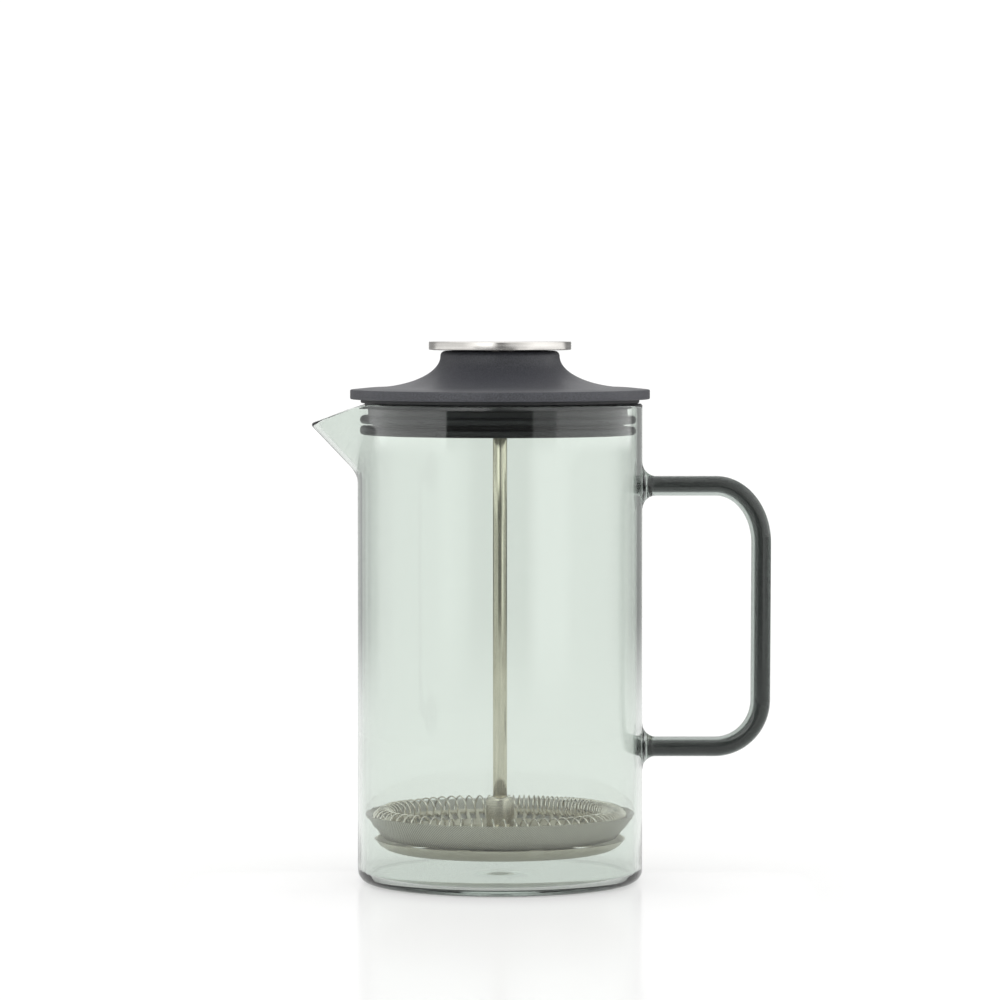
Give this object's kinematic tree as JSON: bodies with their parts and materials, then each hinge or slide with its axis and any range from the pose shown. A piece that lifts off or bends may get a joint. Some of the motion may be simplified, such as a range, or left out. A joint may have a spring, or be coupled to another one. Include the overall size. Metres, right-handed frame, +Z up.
{
  "type": "french press",
  "caption": "French press: glass jug with pulled spout and welded glass rod handle, flared lid with sliding steel rod, press disc and spring-edged mesh filter.",
  "frame": {"origin": "centre of the jug's flat base, on the surface that it stands on", "axes": "+Z up along the jug and the plunger rod, +X towards the handle, -X towards the spout"},
  "size_m": [0.1619, 0.105, 0.1896],
  "materials": {
    "jug_glass": "clear blown borosilicate glass with a faint grey-green tint, fire-polished",
    "handle_glass": "smoke-grey borosilicate rod, fire-polished",
    "lid_plastic": "moulded dark grey plastic with a fine matte grain",
    "insert_plastic": "moulded black plastic",
    "seal_silicone": "moulded dark grey silicone",
    "guide_plastic": "turned natural acetal",
    "disc_steel": "stainless steel, brushed round the edge",
    "turned_steel": "turned stainless steel, satin",
    "rod_steel": "drawn stainless steel, polished along its length",
    "sheet_steel": "pressed stainless sheet, satin",
    "wire_steel": "drawn spring-steel wire, bright",
    "mesh_steel": "fine woven stainless wire cloth"
  },
  "bodies": {
    "jug": {"glass_jug": "jug_glass", "glass_handle": "handle_glass"},
    "lid": {"lid_cover": "lid_plastic", "lid_insert": "insert_plastic", "lid_seal": "seal_silicone", "rod_guide": "guide_plastic"},
    "plunger": {"knob_disc": "disc_steel", "knob_boss": "turned_steel", "plunger_rod": "rod_steel", "rod_hub": "turned_steel"},
    "filter": {"spiral_plate": "sheet_steel", "coil_spring": "wire_steel", "mesh_screen": "mesh_steel", "mesh_eyelet": "sheet_steel"},
    "cross_disc": {"cross_plate": "sheet_steel", "cross_plate_nut": "turned_steel"}
  },
  "joints": [
    {"name": "lid_lift", "type": "slide", "parent": "jug", "child": "lid", "axis": [0, 0, 1], "range_m": [0, 0.19]},
    {"name": "plunge", "type": "slide", "parent": "lid", "child": "plunger", "axis": [0, 0, 1], "range_m": [0, 0.126]},
    {"name": "filter_drop", "type": "slide", "parent": "plunger", "child": "filter", "axis": [0, 0, -1], "range_m": [0, 0.0036]},
    {"name": "cross_plate_unscrew", "type": "hinge", "parent": "filter", "child": "cross_disc", "pos_m": [0, 0, 0.011], "axis": [0, 0, -1], "range_deg": [0, 1800]}
  ],
  "couplings": [
    {"joint": "filter_drop", "follows": "cross_plate_unscrew", "m_per_rad": 0.00011141}
  ]
}
